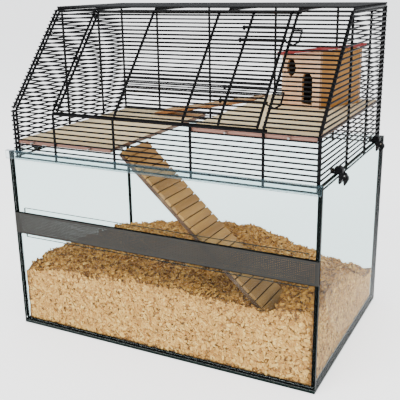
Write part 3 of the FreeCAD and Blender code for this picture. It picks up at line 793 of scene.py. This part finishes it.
def make_chips(finish):
    """Loose chips over the whole top, and chips pressed flat against each pane."""
    inset = 0.009
    beside_ladder = 0.009
    past_ladder = 0.010
    below_ladder = 0.022
    lift = (-0.0015, 0.0035)
    off_pane = (0.0016, 0.0032)
    above_heap = 0.001
    middle = 0.0
    count = 5600
    rng = np.random.default_rng(41)

    def chips(name, points, faces, strip):
        piece("shavings_" + name, points, faces, finish, "tank", slot_of("bedding"), (), False,
              {"strip": strip})

    for name, x0, x1 in (("left", glass_left + inset, middle), ("right", middle, glass_right - inset)):
        x = rng.uniform(x0, x1, count)
        y = rng.uniform(glass_front + inset, glass_back - inset, count)
        clear = np.maximum(slats_low.y - y, y - slats_high.y) > beside_ladder
        clear |= x > slats_high.x + past_ladder
        rail = rails_low.z + (rails_high.x - x) * math.tan(ladder_angle)
        clear |= heap_height(x, y) < rail - below_ladder
        x, y = x[clear], y[clear]
        z = heap_height(x, y) + rng.uniform(*lift, len(x))
        spot = np.stack([x, y, z], -1)
        chips("top_" + name, *chip_mesh(rng, spot, slope_of(x, y), 0.9, (0.005, 0.012), (0.25, 1.25)))
    low = floor_top + 0.006
    # Each wall is its name, its axis, its pane's place, the way inwards and its number of chips.
    walls = (("front", 1, glass_front, 1, 6600), ("back", 1, glass_back, -1, 4200),
             ("left", 0, glass_left, 1, 2600), ("right", 0, glass_right, -1, 4200))
    for name, axis, plane, inward, count in walls:
        ends = ((glass_left, glass_right), (glass_front, glass_back))[1 - axis]
        along = rng.uniform(ends[0] + inset, ends[1] - inset, count)
        spot = np.zeros((count, 3))
        spot[:, 1 - axis] = along
        spot[:, axis] = plane
        top = heap_height(spot[:, 0], spot[:, 1])
        spot[:, 2] = low + (top + above_heap - low) * rng.uniform(0, 1, count)
        spot[:, axis] += inward * rng.uniform(*off_pane, count)
        normal = np.zeros((count, 3))
        normal[:, axis] = -inward
        points, faces, strip = chip_mesh(rng, spot, normal, 0.22, (0.004, 0.010), (0.05, 0.4))
        points[:, axis] = np.clip(points[:, axis] * inward, plane * inward, None) * inward
        chips(name, points, faces, strip)


# ---- vent band -----------------------------------------------------------------------------------


def make_vent_band(finish):
    """A channel of perforated sheet. Each cell of the web is a square with an eight-sided hole in it:
    eight quads join the points on its outline to those on the hole, in front and behind, and eight more
    line the hole. The lips are an angle profile carried along x, and a plain block closes each end."""

    def strip(name, points, faces, replaced=()):
        weld(piece("vent_band_" + name, points, faces, finish, "tank", slot_of("vent_band"), replaced,
                   False))

    low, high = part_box("vent_band")
    sheet = 0.001
    lip = high.y - low.y - sheet
    border = 0.0035
    pitch = 0.0030
    hole = 0.00062
    columns = int((high.x - low.x - 2 * border) / pitch)
    rows = int((high.z - low.z - 2 * border) / pitch)
    step_x = (high.x - low.x - 2 * border) / columns
    step_z = (high.z - low.z - 2 * border) / rows
    turn = np.arange(8) * math.pi / 4
    square = np.stack([np.cos(turn), np.sin(turn)], -1)
    square = square / np.abs(square).max(axis=1, keepdims=True) / 2
    square = square * [step_x, step_z]
    round_hole = np.stack([np.cos(turn), np.sin(turn)], -1) * hole
    outline = np.concatenate([square, round_hole])
    i, k = np.meshgrid(np.arange(columns), np.arange(rows), indexing="ij")
    cx = low.x + border + (i.ravel() + 0.5) * step_x
    cz = low.z + border + (k.ravel() + 0.5) * step_z
    cell = np.zeros((len(cx), 2, 16, 3))
    cell[..., 0] = cx[:, None, None] + outline[:, 0]
    cell[..., 2] = cz[:, None, None] + outline[:, 1]
    cell[:, 0, :, 1] = low.y
    cell[:, 1, :, 1] = low.y + sheet
    n = np.arange(8)
    after = (n + 1) % 8
    front = np.stack([n, after, 8 + after, 8 + n], -1)
    back = 16 + front[:, ::-1]
    lining = np.stack([8 + n, 8 + after, 24 + after, 24 + n], -1)
    quads = np.concatenate([front, back, lining])
    faces = (quads[None] + 32 * np.arange(len(cx))[:, None, None]).reshape(-1, 4)
    strip("web", cell.reshape(-1, 3), faces, ["vent_band"])
    y0, y1, y2 = low.y, low.y + sheet, low.y + sheet + lip
    for name, edge, inward in (("lower", low.z, 1), ("upper", high.z, -1)):
        profile = np.array([
            (y0, edge), (y2, edge), (y2, edge + inward * sheet), (y1, edge + inward * sheet),
            (y1, edge + inward * border), (y0, edge + inward * border)])
        run = np.linspace(low.x, high.x, 41)
        points = np.zeros((len(run), len(profile), 3))
        points[..., 0] = run[:, None]
        points[..., 1:] = profile
        strip(name + "_lip", points.reshape(-1, 3), ring_faces(len(run), len(profile)))
    for name, a, b in (("left", low.x, low.x + border), ("right", high.x - border, high.x)):
        z = (low.z + border, high.z - border)
        points = [(x, y, q) for x in (a, b) for y in (y0, y1) for q in z]
        faces = [(0, 1, 3, 2), (4, 6, 7, 5), (0, 4, 5, 1), (2, 3, 7, 6), (0, 2, 6, 4), (1, 5, 7, 3)]
        strip(name + "_end", points, faces)


# ---- the whole cage ------------------------------------------------------------------------------


def make_tank():
    arris = 0.0004
    cool = (0.91, 0.977, 0.979)
    flat = clear_glass("glass laid flat", (0, 0, 1))
    front = clear_glass("glass facing front", (0, 1, 0))
    rear = clear_glass("glass facing back", (0, 1, 0), cool)
    left = clear_glass("glass facing left", (1, 0, 0), cool)
    right = clear_glass("glass facing right", (1, 0, 0))
    panes = (("floor_pane", flat), ("front_lower_pane", front), ("front_upper_pane", front),
             ("lower_strip", front), ("upper_strip", front), ("rear_pane", rear),
             ("left_pane", left), ("right_pane", right))
    for node, glass in panes:
        softened(node, glass, arris)
    black = sealant()
    for node in ("corner_seals", "base_seals", "lower_band_seal", "upper_band_seal"):
        repaint(node, black)
    softened("front_rim_profile", clear_profile(), 0.0003)
    make_vent_band(perforated_sheet())
    make_heap(packed_shavings())
    make_chips(shaving_wood())


def make_cage():
    black = black_coating()
    panels = ("front_grille", "rear_grille", "left_grille", "right_grille", "roof_grille",
              "left_slope_grille", "right_slope_grille", "door_grille", "door_sill_bar", "door_head_bar")
    for node in panels:
        make_panel(node, black)
    for node in ("upper_latch", "lower_latch", "door_hinge_rings"):
        repaint(node, black)
    steel = bare_steel()
    for node in ("low_shelf_pins", "high_shelf_pins", "ladder_staples", "ladder_hooks",
                 "ramp_staples", "ramp_hooks", "clip_pins"):
        repaint(node, steel)
    plastic = black_plastic()
    for node in nodes:
        if node.startswith(("clip_body", "clip_lever")):
            softened(node, plastic, 0.0006)


def make_wood():
    """The shelves, the ramp, the ladder and the house.

    The ramp's plies lie square to its own slope, and the house's to the way that its walls are turned.
    """
    corner = 0.0006
    shelf = board("pale plywood", (0.95, 0.79, 0.49), (0.86, 0.63, 0.33), (0.48, 0.25, 0.19),
                  (0.34, 0.16, 0.115), (1, 0, 0), (0, 0, 1))
    for node in ("low_shelf", "high_shelf"):
        softened(node, shelf, 0.0007)
    low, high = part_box("ramp_board")
    rise = math.atan2(high.z - low.z, high.x - low.x)
    ramp = board("ramp plywood", (0.62, 0.38, 0.16), (0.44, 0.23, 0.08), (0.36, 0.15, 0.04),
                 (0.20, 0.07, 0.016), (1, 0, 0), (-math.sin(rise), 0, math.cos(rise)))
    slats = slat_wood("ladder slats",
                      ((0.42, 0.22, 0.055), (0.33, 0.16, 0.036), (0.22, 0.10, 0.018)), (0, 1, 0))
    rails = slat_wood("ladder rails",
                      ((0.11, 0.045, 0.018), (0.075, 0.03, 0.011), (0.05, 0.018, 0.006)), (1, 0, 0))
    low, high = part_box("house_roof")
    below_roof = 0.045
    room = tuple((low + high) / 2)[:2] + (low.z - below_roof,)
    turn = math.radians(25)
    front_axis = (math.sin(turn), math.cos(turn), 0)
    side_axis = (math.cos(turn), -math.sin(turn), 0)
    # One plywood in two copies: the front and rear walls painted pale as the lit copy, the near and far walls
    # painted dark brown as the shaded copy.
    front = board("house plywood painted lit", (0.92, 0.60, 0.38), (0.80, 0.47, 0.27), (0.60, 0.33, 0.16),
                  (0.34, 0.17, 0.08), (0, 0, 1), front_axis, room)
    side = board("house plywood painted shaded", (0.45, 0.20, 0.028), (0.34, 0.14, 0.018), (0.42, 0.20, 0.07),
                 (0.22, 0.10, 0.03), (0, 0, 1), side_axis, room)
    for node, wood in (("ramp_board", ramp), ("ladder_slats", slats), ("ladder_rails", rails),
                       ("house_front_wall", front), ("house_rear_wall", front),
                       ("house_near_wall", side), ("house_far_wall", side)):
        softened(node, wood, corner)
    softened("house_roof", red_stain(), 0.0008)


def make_stage():
    reach = 60
    mesh = bpy.data.meshes.new("floor")
    corners = [(-reach, -reach, 0), (reach, -reach, 0), (reach, reach, 0), (-reach, reach, 0)]
    mesh.from_pydata(corners, [], [(0, 1, 2, 3)])
    mesh.materials.append(pale_floor())
    floor = bpy.data.objects.new("floor", mesh)
    bpy.context.scene.collection.objects.link(floor)


def make_lights():
    world = bpy.data.worlds.new("soft room")
    world.use_nodes = True
    sky = world.node_tree.nodes["Background"]
    sky.inputs["Color"].default_value = (0.93, 0.965, 1.0, 1)
    sky.inputs["Strength"].default_value = 1.15
    bpy.context.scene.world = world
    target = Vector((0, 0, 0.25))
    # Each lamp is its name, its place, its width, its power and its colour.
    lamps = (("key", (-0.9, -2.6, 2.4), 2.0, 120, (1.0, 0.99, 0.97)),
             ("fill", (2.8, -1.4, 1.8), 2.4, 45, (0.97, 0.985, 1.0)),
             ("top", (0.3, 1.0, 3.0), 2.4, 50, (1.0, 1.0, 1.0)))
    for name, place, size, power, colour in lamps:
        data = bpy.data.lights.new(name, "AREA")
        data.size = size
        data.energy = power
        data.color = colour
        lamp = bpy.data.objects.new(name, data)
        lamp.location = place
        lamp.rotation_euler = (target - lamp.location).to_track_quat("-Z", "Y").to_euler()
        bpy.context.scene.collection.objects.link(lamp)


def make_camera():
    """The camera stands at the right front, looks a little down, and leans by about a degree."""
    eye = Vector((0.5876, -1.1553, 0.6412))
    ahead = Vector((-0.4363, 0.8489, -0.2983)).normalized()
    right = Vector((0.8915, 0.4527, -0.0156)).normalized()
    up = right.cross(ahead)
    data = bpy.data.cameras.new("camera")
    data.lens = 62.47
    data.sensor_width = 36.0
    data.clip_start = 0.02
    data.clip_end = 200
    camera = bpy.data.objects.new("camera", data)
    camera.matrix_world = Matrix((
        (right.x, up.x, -ahead.x, eye.x), (right.y, up.y, -ahead.y, eye.y),
        (right.z, up.z, -ahead.z, eye.z), (0, 0, 0, 1)))
    bpy.context.scene.collection.objects.link(camera)
    bpy.context.scene.camera = camera


make_tank()
make_cage()
make_wood()
make_stage()
make_lights()
make_camera()
